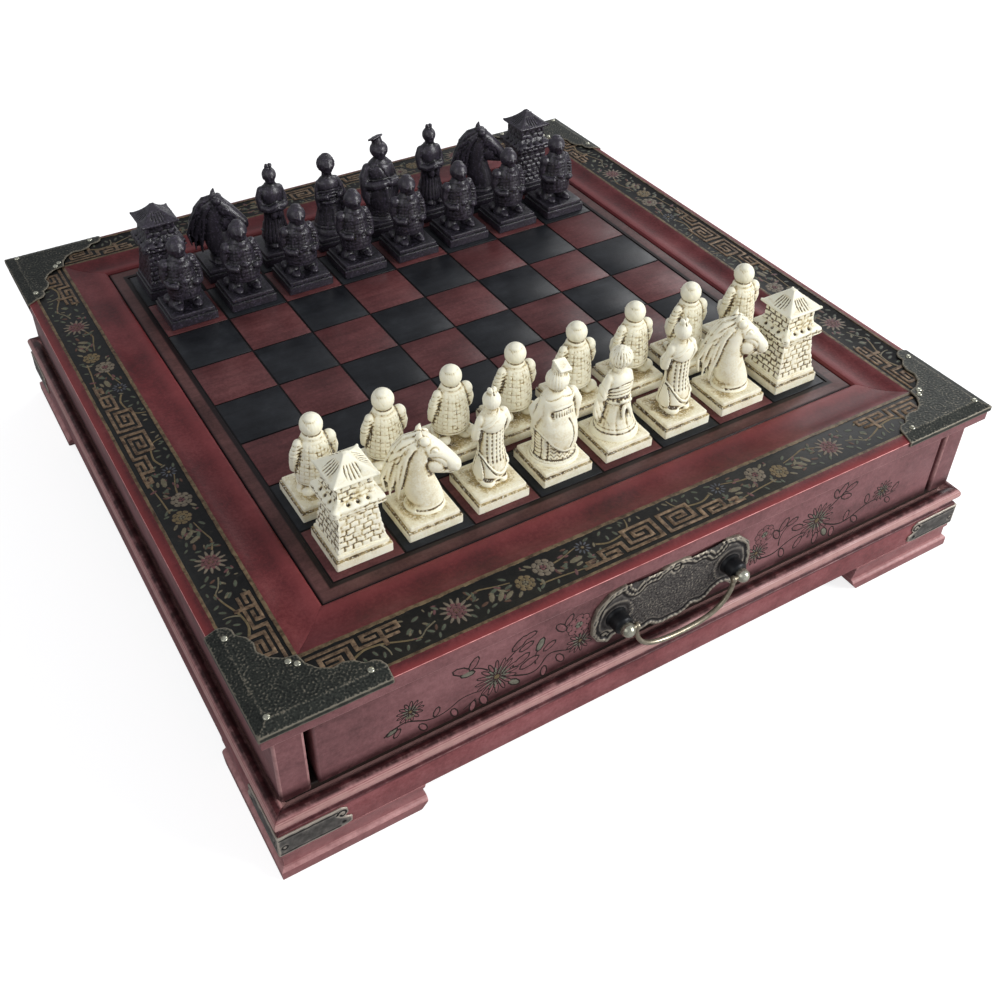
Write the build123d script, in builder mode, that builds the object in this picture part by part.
from build123d import *
from math import cos, pi, radians, sin, sqrt
import os

# Chess set in a lacquered box: a raised playing board on a two-drawer case, with its 32 carved men.
# Millimetres, +Z up, origin on the floor under the middle of the case. The front is on -Y.

# The playing field
SQUARE = 23.0
FIELD = 8 * SQUARE
PANEL_HALF = 98.2
PANEL_TOP = 64.4
PANEL_THICK = 4.0
SQUARE_GROOVE = 0.7
SQUARE_GROOVE_DEEP = 0.35
PANEL_BREAK = 0.7

# The top frame, given by distances out from the middle and heights from the floor
FRAME_HALF = 129.4
FRAME_BOTTOM = 58.0
FRAME_TOP = 65.2
FRAME_BEVEL_WIDE = 3.2
FRAME_BEVEL_DROP = 1.2
UNDER_CHAMFER = 0.9
BAND_OUT = 125.6
BAND_IN = 112.2
BAND_SUNK = 0.25
MOULD_OUT = 110.5
MOULD_DIP = 0.9
MOULD_IN = 100.4
REBATE_IN = 94.0

# Brass on the top corners
BRASS_THICK = 0.6
LIP_BOTTOM = 62.4
PLATE_REACH = 37.5
NAIL_R = 1.0
NAIL_HIGH = 0.55
SCALLOP_STEPS = 3

# The box under the frame
BODY_HALF = 126.0
SIDE_THICK = 9.0
BOARD_BOTTOM = 26.0
BOARD_THICK = 3.0
BOARD_HALF = 124.5
DIVIDER_THICK = 6.0

# The plinth and its feet
APRON_FACE = 129.5
APRON_BOTTOM = 11.0
APRON_TOP = 21.0
RAIL_INNER = 117.0
BEAD_R = 2.5
BEAD_CENTRE = (127.7, 24.9)
FOOT_INNER = 118.0
FOOT_FACE = 130.2
FOOT_WAIST = 128.9
FOOT_LONG = 43.2
STRAP_BOTTOM = 11.6
STRAP_HIGH = 8.8
STRAP_REACH = 22.6

# The drawers
DRAWER_HALF = 114.8
FACE_THICK = 8.0
DRAWER_BOTTOM = 29.4
FACE_TOP = 57.4
TRAY_HALF = 114.3
TRAY_HIGH = 24.0
TRAY_WALL = 4.0
TRAY_FLOOR = 3.0
TRAY_BACK = 5.0

# The drawer pulls
PULL_X = 2.5
PULL_Z = 43.2
PULL_THICK = 1.2
POST_X = 21.5
POST_R = 2.9
POST_LONG = 4.6
BALL_R = 2.3
PIN_R = 0.8
PIN_CLEAR = 0.08
BAIL_R = 1.1
BAIL_DROP = 12.6
BAIL_HALF = 18.2
BAIL_STEPS = 10

# The men
BASE_WIDE = 17.8
BASE_LOW = 3.5
BASE_HIGH = 5.0
BASE_INSET = 0.7
HORSE_TURN = -25

os.makedirs("parts", exist_ok=True)


def save(part, name):
    """Label a finished piece and write it as its own STEP file."""
    part.label = name
    export_step(part, f"parts/{name}.step")


def mitred_side(section):
    """One side of a square frame: its section run along X, cut at 45 degrees at both ends."""
    reach = FOOT_FACE + 1
    with BuildPart() as side:
        extrude(to_extrude=section.sketch, amount=reach, both=True)
        with BuildSketch(Plane.XY.offset(-1)):
            Polygon((0, 0), (-reach, -reach), (reach, -reach), align=None)
        extrude(amount=FRAME_TOP + 2, mode=Mode.INTERSECT)
    return side.part


def turned(part, angle):
    """The same piece a quarter, half or three quarters of a turn round the case."""
    with BuildPart() as copy:
        with Locations(Location((0, 0, 0), (0, 0, angle))):
            add(part)
    return copy.part


def faceted(levels, aspect=1.0, sides=8, plane=Plane.XY):
    """A solid of flat faces through similar flat-sided sections (distance, half width, centre)."""
    turns = [2 * pi * (step + 0.5) / sides for step in range(sides)]
    rows = []
    for distance, half_wide, (centre_x, centre_y) in levels:
        rows.append([
            plane.from_local_coords((
                centre_x + half_wide * cos(turn), centre_y + half_wide / aspect * sin(turn), distance
            ))
            for turn in turns
        ])
    faces = [Face(Wire.make_polygon(row, close=True)) for row in (rows[0], rows[-1])]
    for low, high in zip(rows, rows[1:]):
        for near in range(sides):
            far = (near + 1) % sides
            faces.append(Face(Wire.make_polygon([low[near], low[far], high[far], high[near]], close=True)))
    return Solid(Shell(faces))


def scalloped(points):
    """Corners along a row of small arcs (start, middle, end, middle, end ...) in short straight steps."""
    corners = [points[0]]
    for start, middle, end in zip(points[0::2], points[1::2], points[2::2]):
        with BuildLine(mode=Mode.PRIVATE):
            bend = ThreePointArc(start, middle, end)
        for step in range(1, SCALLOP_STEPS + 1):
            spot = bend @ (step / SCALLOP_STEPS)
            corners.append((spot.X, spot.Y))
    return corners


def outward(points):
    """Turn (distance out, height) pairs into points of the front side's section plane."""
    return [(-out, height) for out, height in points]


# Top frame: four mitred rails, with a bevelled rim, a sunk band and a dished inner moulding
bevel_in = FRAME_HALF - FRAME_BEVEL_WIDE
mould_mid = (MOULD_OUT + MOULD_IN) / 2
with BuildSketch(Plane.YZ) as frame_section:
    with BuildLine():
        Polyline(*outward([
            (MOULD_OUT, FRAME_TOP),
            (BAND_IN, FRAME_TOP),
            (BAND_IN, FRAME_TOP - BAND_SUNK),
            (BAND_OUT, FRAME_TOP - BAND_SUNK),
            (BAND_OUT, FRAME_TOP),
            (bevel_in, FRAME_TOP),
            (FRAME_HALF, FRAME_TOP - FRAME_BEVEL_DROP),
            (FRAME_HALF, FRAME_BOTTOM + UNDER_CHAMFER),
            (FRAME_HALF - UNDER_CHAMFER, FRAME_BOTTOM),
            (REBATE_IN, FRAME_BOTTOM),
            (REBATE_IN, PANEL_TOP - PANEL_THICK),
            (PANEL_HALF, PANEL_TOP - PANEL_THICK),
            (PANEL_HALF, PANEL_TOP),
            (PANEL_HALF + PANEL_BREAK, FRAME_TOP - 0.2),
            (MOULD_IN, FRAME_TOP - 0.2),
        ]))
        ThreePointArc(*outward([
            (MOULD_IN, FRAME_TOP - 0.2),
            (mould_mid, FRAME_TOP - MOULD_DIP),
            (MOULD_OUT, FRAME_TOP),
        ]))
    make_face()
frame_side = mitred_side(frame_section)
for side_name, angle in (("front", 0), ("right", 90), ("back", 180), ("left", 270)):
    save(turned(frame_side, angle), f"frame_rail_{side_name}")

# Playing board: a panel let into the frame, with a sawn groove round each of the 64 squares
with BuildPart() as playing_board:
    with BuildSketch(Plane.XY.offset(PANEL_TOP - PANEL_THICK)):
        Rectangle(2 * PANEL_HALF, 2 * PANEL_HALF)
    extrude(amount=PANEL_THICK)
    chamfer(playing_board.faces().sort_by(Axis.Z)[-1].edges(), PANEL_BREAK)
    with BuildSketch(Plane.XY.offset(PANEL_TOP)):
        with GridLocations(SQUARE, 0, 9, 1):
            Rectangle(SQUARE_GROOVE, FIELD + SQUARE_GROOVE)
        with GridLocations(0, SQUARE, 1, 9):
            Rectangle(FIELD + SQUARE_GROOVE, SQUARE_GROOVE)
    extrude(amount=-SQUARE_GROOVE_DEEP, mode=Mode.SUBTRACT)
save(playing_board.part, "playing_board")


def rim_form(half, flat_half, bottom, shoulder, top):
    """The outside of the frame's rim as a block: straight sides, then the bevel up to the flat."""
    with BuildPart() as block:
        with BuildSketch(Plane.XY.offset(bottom)):
            Rectangle(2 * half, 2 * half)
        extrude(amount=shoulder - bottom)
        with BuildSketch(Plane.XY.offset(shoulder)):
            Rectangle(2 * half, 2 * half)
        with BuildSketch(Plane.XY.offset(top)):
            Rectangle(2 * flat_half, 2 * flat_half)
        loft(ruled=True)
    return block.part


# Corner plates: four pressed brass plates with a cusped inner edge and a lip over each outer edge
brass_half = FRAME_HALF + BRASS_THICK
rim_shoulder = FRAME_TOP - FRAME_BEVEL_DROP
brass_rim = rim_form(
    brass_half, bevel_in, LIP_BOTTOM, rim_shoulder + BRASS_THICK / 2, FRAME_TOP + BRASS_THICK
)
wood_rim = rim_form(FRAME_HALF, bevel_in, LIP_BOTTOM - 1, rim_shoulder, FRAME_TOP)
end_wide = 4.2
lobe = (PLATE_REACH - 4.6, 7.4)
cusp = (PLATE_REACH - 12.6, 10.2)
tip = 18.8
with BuildPart() as corner_plates:
    add(brass_rim)
    add(wood_rim, mode=Mode.SUBTRACT)
    with BuildSketch(Plane.XY.offset(LIP_BOTTOM - 1)) as plate_plan:
        with BuildSketch(Plane((-brass_half, -brass_half, 0)), mode=Mode.PRIVATE) as one_corner:
            with BuildLine():
                Polyline((tip, tip), (0, 0), (PLATE_REACH, 0), *scalloped([
                    (PLATE_REACH, end_wide), (PLATE_REACH - 1.6, 7.0), lobe,
                    (PLATE_REACH - 8.2, 10.4), cusp, (20.6, 13.4), (tip, tip),
                ]))
            make_face()
            mirror(about=Plane((0, 0, 0), z_dir=(1, -1, 0)))
        for mirror_x, mirror_y in ((1, 1), (-1, 1), (1, -1), (-1, -1)):
            corner = one_corner.sketch
            if mirror_x < 0:
                corner = corner.mirror(Plane.YZ)
            if mirror_y < 0:
                corner = corner.mirror(Plane.XZ)
            add(corner)
    extrude(amount=10, mode=Mode.INTERSECT)
save(corner_plates.part, "corner_plates")

# Corner nails: five domed heads on each plate
nail_seat = FRAME_TOP + BRASS_THICK
nail_spots = [(4.3, 4.3), (33.0, 4.4), (4.4, 33.0), (17.6, 15.8), (15.8, 17.6)]
with BuildPart() as corner_nails:
    for side_x in (-1, 1):
        for side_y in (-1, 1):
            for along, across in nail_spots:
                spot = (side_x * (brass_half - along), side_y * (brass_half - across), nail_seat)
                add(faceted([(0, NAIL_R, (0, 0)), (NAIL_HIGH, NAIL_R * 0.5, (0, 0))], sides=6, plane=Plane(spot)))
save(corner_nails.part, "corner_nails")

# Box: two side boards, a floor, and a board across the middle that stops both drawers
side_bottom = BOARD_BOTTOM + BOARD_THICK
side_high = FRAME_BOTTOM - side_bottom
for side_name, way in (("left", -1), ("right", 1)):
    with BuildPart() as side_board:
        with Locations((way * (BODY_HALF - SIDE_THICK / 2), 0, side_bottom)):
            Box(SIDE_THICK, 2 * BODY_HALF, side_high, align=(Align.CENTER, Align.CENTER, Align.MIN))
        chamfer(side_board.edges().filter_by(Axis.Z), 0.5)
    save(side_board.part, f"side_board_{side_name}")

with BuildPart() as floor_board:
    with Locations((0, 0, BOARD_BOTTOM)):
        Box(2 * BOARD_HALF, 2 * BOARD_HALF, BOARD_THICK, align=(Align.CENTER, Align.CENTER, Align.MIN))
save(floor_board.part, "floor_board")

with BuildPart() as middle_board:
    with Locations((0, 0, side_bottom)):
        Box(
            2 * (BODY_HALF - SIDE_THICK), DIVIDER_THICK, side_high,
            align=(Align.CENTER, Align.CENTER, Align.MIN),
        )
save(middle_board.part, "middle_board")

# Plinth: four mitred rails with a flat apron, a quirk and a round bead on top
bead_out, bead_up = BEAD_CENTRE
bead_low = (bead_out + BEAD_R * cos(radians(-58)), bead_up + BEAD_R * sin(radians(-58)))
bead_end_rise = BOARD_BOTTOM - bead_up
bead_end = (bead_out - sqrt(BEAD_R ** 2 - bead_end_rise ** 2), BOARD_BOTTOM)
bead_crown = (bead_out + BEAD_R * cos(radians(50)), bead_up + BEAD_R * sin(radians(50)))
quirk = APRON_FACE - 0.9
with BuildSketch(Plane.YZ) as plinth_section:
    with BuildLine():
        Polyline(*outward([
            bead_end,
            (RAIL_INNER, BOARD_BOTTOM),
            (RAIL_INNER, APRON_BOTTOM),
            (APRON_FACE, APRON_BOTTOM),
            (APRON_FACE, APRON_TOP),
            (quirk, APRON_TOP + 0.5),
            (quirk, bead_low[1]),
            bead_low,
        ]))
        ThreePointArc(*outward([bead_low, bead_crown, bead_end]))
    make_face()
plinth_side = mitred_side(plinth_section)
for side_name, angle in (("front", 0), ("right", 90), ("back", 180), ("left", 270)):
    save(turned(plinth_side, angle), f"plinth_rail_{side_name}")

# Feet: an angle of two mitred boards under each corner, waisted above a rounded base moulding
with BuildSketch(Plane.YZ) as foot_section:
    with BuildLine():
        Polyline(*outward([
            (FOOT_FACE, 3.0),
            (FOOT_FACE, 0.7),
            (FOOT_FACE - 0.7, 0),
            (FOOT_INNER, 0),
            (FOOT_INNER, APRON_BOTTOM),
            (APRON_FACE, APRON_BOTTOM),
            (APRON_FACE, APRON_BOTTOM - 1.2),
            (FOOT_WAIST, APRON_BOTTOM - 2.4),
            (FOOT_WAIST, 4.9),
        ]))
        ThreePointArc(*outward([(FOOT_WAIST, 4.9), (FOOT_FACE - 0.25, 4.3), (FOOT_FACE, 3.0)]))
    make_face()
foot_side = mitred_side(foot_section)
foot_end = FOOT_FACE - FOOT_LONG
foot_profile = [
    (-FOOT_FACE, 0), (-foot_end, 0), (-foot_end + 2.6, 3.2), (-foot_end + 2.8, 5.0),
    (-foot_end + 1.6, 7.4), (-foot_end + 2.4, APRON_BOTTOM), (-FOOT_FACE, APRON_BOTTOM),
]
with BuildPart() as corner_foot:
    add(foot_side)
    add(turned(foot_side, 270))
    with BuildSketch(Plane.XZ):
        Polygon(*foot_profile, align=None)
    extrude(amount=FOOT_FACE + 1, both=True, mode=Mode.INTERSECT)
    with BuildSketch(Plane.YZ):
        Polygon(*foot_profile, align=None)
    extrude(amount=FOOT_FACE + 1, both=True, mode=Mode.INTERSECT)
foot_left_back = corner_foot.part.mirror(Plane.XZ)
save(corner_foot.part, "foot_front_left")
save(corner_foot.part.mirror(Plane.YZ), "foot_front_right")
save(foot_left_back, "foot_back_left")
save(foot_left_back.mirror(Plane.YZ), "foot_back_right")


def strap_ends(plane):
    """Both ends of a strap's two wings, seen square on: a bar that ends in a double curl."""
    start = -APRON_FACE - BRASS_THICK
    low = STRAP_BOTTOM
    high = STRAP_BOTTOM + STRAP_HIGH
    end = start + STRAP_REACH

    def curl(way):
        return scalloped([
            (way * (end - 2.8), low), (way * end, low + 2.2), (way * (end - 2.6), low + 4.2),
            (way * (end - 1.2), high - 2.2), (way * (end - 3.4), high),
        ])

    with BuildSketch(plane) as wings:
        for way in (1, -1):
            with BuildLine():
                Polyline((way * (end - 3.4), high), (way * start, high), (way * start, low), *curl(way))
            make_face()
    return wings.sketch


# Corner straps: thin brass angles round the four corners of the apron
with BuildPart() as corner_straps:
    with BuildSketch(Plane.XY.offset(STRAP_BOTTOM)):
        Rectangle(2 * (APRON_FACE + BRASS_THICK), 2 * (APRON_FACE + BRASS_THICK))
        Rectangle(2 * APRON_FACE, 2 * APRON_FACE, mode=Mode.SUBTRACT)
    extrude(amount=STRAP_HIGH)
    extrude(to_extrude=strap_ends(Plane.XZ), amount=FOOT_FACE + 1, both=True, mode=Mode.INTERSECT)
    extrude(to_extrude=strap_ends(Plane.YZ), amount=FOOT_FACE + 1, both=True, mode=Mode.INTERSECT)
save(corner_straps.part, "corner_straps")

# Drawer front: a board that stands flush with the ends of the side boards
face_high = FACE_TOP - DRAWER_BOTTOM
with BuildPart() as drawer_face:
    with Locations((0, -BODY_HALF + FACE_THICK / 2, DRAWER_BOTTOM)):
        Box(2 * DRAWER_HALF, FACE_THICK, face_high, align=(Align.CENTER, Align.CENTER, Align.MIN))
    chamfer(drawer_face.faces().sort_by(Axis.Y)[0].edges(), 0.5)

# Drawer tray: four thin walls and a floor, open on top
tray_front = -BODY_HALF + FACE_THICK
tray_long = -TRAY_BACK - tray_front
tray_middle = (0, tray_front + tray_long / 2, DRAWER_BOTTOM)
with BuildPart() as drawer_tray:
    with Locations(tray_middle):
        Box(2 * TRAY_HALF, tray_long, TRAY_HIGH, align=(Align.CENTER, Align.CENTER, Align.MIN))
    offset(amount=-TRAY_WALL, openings=drawer_tray.faces().sort_by(Axis.Z)[-1])
    with Locations((0, tray_middle[1], DRAWER_BOTTOM + TRAY_FLOOR)):
        Box(
            2 * (TRAY_HALF - TRAY_WALL), tray_long - 2 * TRAY_WALL, TRAY_WALL - TRAY_FLOOR,
            align=(Align.CENTER, Align.CENTER, Align.MIN), mode=Mode.SUBTRACT,
        )

# Pull plate: a cusped cast plate with two stout posts, each ending in a cross-drilled ball
face_plane = Plane((PULL_X, -BODY_HALF, PULL_Z), x_dir=(1, 0, 0), z_dir=(0, -1, 0))
ball_out = PULL_THICK + POST_LONG + BALL_R * 0.6
ball_y = -BODY_HALF - ball_out
post_turning = [
    (PULL_THICK - 0.4, POST_R), (PULL_THICK + POST_LONG * 0.7, POST_R - 0.4),
    (ball_out - BALL_R * 0.8, BALL_R * 0.7), (ball_out - BALL_R * 0.4, BALL_R),
    (ball_out + BALL_R * 0.4, BALL_R), (ball_out + BALL_R * 0.95, BALL_R * 0.5),
]
with BuildPart() as pull_plate:
    with BuildSketch(face_plane):
        with BuildLine():
            Polyline(*scalloped([
                (0, 11.6), (4.6, 11.0), (7.2, 9.2), (11.2, 9.4), (14.6, 6.8), (16.8, 8.0),
                (18.4, 11.6), (26.8, 8.2), (29.8, 0.4), (28.6, -6.6), (23.6, -10.2),
                (20.6, -7.8), (16.2, -8.6), (12.8, -11.6), (8.0, -11.0), (4.6, -13.2), (0, -13.2),
            ]), close=True)
        make_face()
        mirror(about=Plane.YZ)
    extrude(amount=PULL_THICK)
    for way in (-1, 1):
        add(faceted([(out, radius, (way * POST_X, 0)) for out, radius in post_turning], plane=face_plane))
    with Locations(Location((PULL_X, ball_y, PULL_Z), (0, 90, 0))):
        Cylinder(PIN_R + PIN_CLEAR, 2 * (POST_X + BALL_R + 1), mode=Mode.SUBTRACT)

# Bail: a round rod hung as a shallow swag between the posts, on a pin at each end
bail_plane = Plane((PULL_X, ball_y, PULL_Z), x_dir=(1, 0, 0), z_dir=(0, -1, 0))
swag = [
    (-BAIL_HALF * cos(pi * step / BAIL_STEPS), -BAIL_DROP * sin(pi * step / BAIL_STEPS) ** 0.85)
    for step in range(BAIL_STEPS + 1)
]
with BuildPart() as bail:
    with BuildLine(bail_plane) as rod:
        Polyline(*swag)
    with BuildSketch(Plane(rod.line @ 0, x_dir=(0, 1, 0), z_dir=rod.line % 0)):
        RegularPolygon(BAIL_R, 6)
    sweep(transition=Transition.RIGHT)
    for way in (-1, 1):
        knuckle = Plane((PULL_X + way * (BAIL_HALF - 0.7), ball_y, PULL_Z), z_dir=(way, 0, 0))
        add(faceted([(0, BAIL_R + 0.1, (0, 0)), (1.4, BAIL_R + 0.1, (0, 0))], plane=knuckle))
        with Locations(Location((PULL_X + way * (BAIL_HALF + 2.6), ball_y, PULL_Z), (0, 90, 0))):
            Cylinder(PIN_R, 5.2)


for drawer_name, angle in (("front", 0), ("rear", 180)):
    save(turned(drawer_face.part, angle), f"{drawer_name}_drawer_face")
    save(turned(drawer_tray.part, angle), f"{drawer_name}_drawer_tray")
    save(turned(pull_plate.part, angle), f"{drawer_name}_pull_plate")
    save(turned(bail.part, angle), f"{drawer_name}_bail")


# The men are carved on faceted forms
def column(levels, aspect=1.0, sides=8):
    """Sections (height, half width) stacked on the middle of the base."""
    return faceted([(height, wide, (0, 0)) for height, wide in levels], aspect, sides)


def pair(levels, aspect):
    """A limb and its mirror image on the other side of the body."""
    right = faceted(levels, aspect, 6)
    with BuildPart() as both:
        add(right)
        add(right.mirror(Plane.YZ))
    return both.part


def base_block():
    """The square foot of a man: a low slab with a narrower slab on it."""
    step_wide = BASE_WIDE - 2 * BASE_INSET
    low_end = (Align.CENTER, Align.CENTER, Align.MIN)
    with BuildPart() as block:
        Box(BASE_WIDE, BASE_WIDE, BASE_LOW, align=low_end)
        with Locations((0, 0, BASE_LOW)):
            Box(step_wide, step_wide, BASE_HIGH - BASE_LOW, align=low_end)
    return block.part


def head(neck_at, radius, crown):
    """A round head on its neck, closed by a small crown or knot of hair."""
    middle = neck_at + 0.5 + radius
    return column([
        (neck_at - 1.0, 0.6 * radius), (middle - 0.8 * radius, 0.62 * radius),
        (middle - 0.3 * radius, radius), (middle + 0.45 * radius, 0.92 * radius),
        (crown, 0.3 * radius),
    ], sides=6)


def pawn_form():
    """A foot soldier in a long coat of plates, his hands at his belt."""
    with BuildPart() as man:
        add(base_block())
        add(column([(4.5, 5.2), (9.2, 5.0)], 1.15, 6))
        add(column([(8.7, 6.4), (11.4, 6.9), (22.6, 5.0), (24.4, 2.7)], 1.25))
        add(pair([(13.2, 1.4, (5.6, 2.8)), (16.4, 1.9, (6.5, -0.2)), (22.6, 1.6, (4.9, 0))], 0.85))
        add(head(23.8, 3.6, 32.3))
    return man.part


def bishop_form():
    """A standing courtier with folded sleeves, a pleated robe and a knot of hair."""
    with BuildPart() as man:
        add(base_block())
        add(column([(4.5, 5.6), (7.4, 5.6), (16.0, 4.6), (25.0, 4.7), (29.2, 4.2), (31.2, 2.0)], 1.15))
        add(faceted([(18.6, 2.8, (0, 3.4)), (22.4, 5.2, (0, 2.2)), (28.2, 5.2, (0, 0.8))], 1.7, 8))
        add(head(31.0, 2.9, 38.8))
    return man.part


def queen_form():
    """A lady with wide sleeves, a high sash, a skirt that spreads on a round foot, and full hair."""
    with BuildPart() as man:
        add(base_block())
        add(column([
            (4.5, 7.8), (6.4, 7.5), (9.6, 5.6), (17.6, 4.2), (24.6, 4.8), (27.4, 4.2), (29.2, 2.2),
        ], 1.1))
        add(pair([(13.6, 2.3, (6.0, 2.4)), (18.0, 3.0, (5.4, 1.6)), (27.4, 2.1, (3.4, 0.2))], 1.25))
        add(head(28.9, 3.6, 37.2))
    return man.part


def king_form():
    """A broad ruler in a belted robe with deep sleeves, on a round foot, under a flat square hat."""
    with BuildPart() as man:
        add(base_block())
        add(column([(4.5, 8.0), (6.2, 8.0)]))
        add(column([(6.0, 6.7), (13.0, 6.2), (26.6, 5.4), (29.4, 4.4), (31.0, 2.4)], 1.2))
        add(faceted([
            (11.6, 3.6, (0, 4.2)), (15.4, 7.4, (0, 2.2)), (21.0, 7.3, (0, 1.0)), (28.0, 5.4, (0, 0.0)),
        ], 1.75, 8))
        add(head(30.2, 3.2, 38.0))
        with Locations(Location((0, 0, 38.2), (8, 0, 0))):
            Box(5.4, 8.0, 1.2)
    return man.part


def knight_form():
    """A horse's head and neck, turned a little off +X, with a thick mane down its back."""
    neck = [
        (4.5, 6.2, (0.8, 0)), (6.6, 5.0, (1.6, 0)), (9.6, 5.8, (0.2, 0)), (15.0, 5.2, (-1.6, 0)),
        (21.0, 4.8, (-1.8, 0)), (26.6, 4.3, (-1.2, 0)), (30.6, 2.8, (-0.6, 0)),
    ]
    along_head = Plane((-0.4, 0, 26.2), x_dir=(0, 1, 0), z_dir=(10.4, 0, -7.8))
    muzzle = [(0, 3.0, (0, 0)), (4.6, 3.1, (0, 0)), (9.4, 2.0, (0, 0)), (13.6, 1.7, (0, 0))]
    with BuildPart() as man:
        add(base_block())
        with Locations(Location((0, 0, 0), (0, 0, HORSE_TURN))):
            add(faceted(neck, 1.3, 8))
            add(faceted(muzzle, 0.68, 6, along_head))
            for side in (-1, 1):
                add(faceted([(28.0, 1.6, (0.2, side * 2.0)), (32.8, 0.8, (0.4, side * 2.3))], 1.1, 4))
    return man.part


def rook_form():
    """A tapered brick gate tower with a projecting parapet, an upper room and a flared roof."""
    with BuildPart() as man:
        add(base_block())
        for levels in (
            [(4.5, 7.9), (19.9, 6.1)],
            [(19.2, 6.0), (20.0, 8.1), (22.8, 8.1)],
            [(22.4, 6.0), (28.0, 5.3)],
            [(27.2, 6.3), (28.2, 6.9), (30.2, 4.2), (32.2, 2.3), (34.4, 0.6)],
        ):
            # A square section's corners lie further out than its sides
            add(column([(height, half * sqrt(2)) for height, half in levels], sides=4))
    return man.part


# Where the men stand: the light side along the front, the dark side along the back
back_rank = [
    ("rook_left", rook_form), ("knight_left", knight_form), ("bishop_left", bishop_form),
    ("king", king_form), ("queen", queen_form),
    ("bishop_right", bishop_form), ("knight_right", knight_form), ("rook_right", rook_form),
]
forms = {make: make() for make in (rook_form, knight_form, bishop_form, king_form, queen_form, pawn_form)}


def place_man(name, make, column_index, row_index):
    """Stand one man in the middle of a square, facing the other side."""
    x = (column_index - 3.5) * SQUARE
    y = (row_index - 3.5) * SQUARE
    looks_back = row_index > 3 and make is not knight_form
    with BuildPart() as man:
        with Locations(Location((x, y, PANEL_TOP), (0, 0, 180 if looks_back else 0))):
            add(forms[make])
    save(man.part, name)


for index, (man_name, make) in enumerate(back_rank):
    place_man(f"light_{man_name}", make, index, 0)
    place_man(f"light_pawn_{index + 1}", pawn_form, index, 1)
    place_man(f"dark_pawn_{index + 1}", pawn_form, index, 6)
dark_rank = [name for name, make in back_rank]
dark_rank[3:5] = ["queen", "king"]
makers = dict(back_rank)
for index, man_name in enumerate(dark_rank):
    place_man(f"dark_{man_name}", makers[man_name], index, 7)
